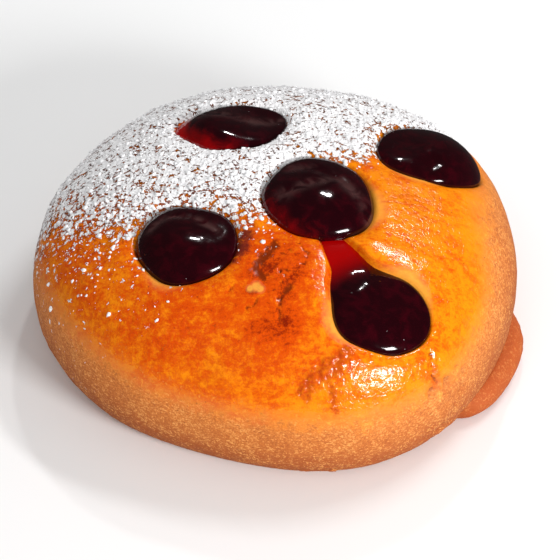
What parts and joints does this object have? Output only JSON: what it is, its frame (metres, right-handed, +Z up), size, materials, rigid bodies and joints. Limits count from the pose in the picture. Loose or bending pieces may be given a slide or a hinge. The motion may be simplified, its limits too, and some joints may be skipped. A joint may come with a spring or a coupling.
{
  "type": "cherry brioche",
  "caption": "Round glazed sweet bun with a flat foot, wells of dark cherry filling pressed into its domed top, a lip of dough at the foot and a dusting of sugar.",
  "frame": {"origin": "on the bun's axis, at the middle of its flat foot", "axes": "+Z up through the crown; -Y is the side that shows in the picture, with the lip of dough towards +X"},
  "size_m": [0.1222, 0.1185, 0.0486],
  "materials": {
    "crust": "egg-washed bread crust, glossy golden orange on the crown and matte tan on the side",
    "cherry_filling": "wet glossy dark red jelly",
    "sugar": "matte white powder in clumps"
  },
  "bodies": {
    "root": {"brioche": "crust", "filling_back": "cherry_filling", "filling_left": "cherry_filling", "filling_middle": "cherry_filling", "filling_front": "cherry_filling", "filling_right": "cherry_filling"}
  },
  "joints": []
}
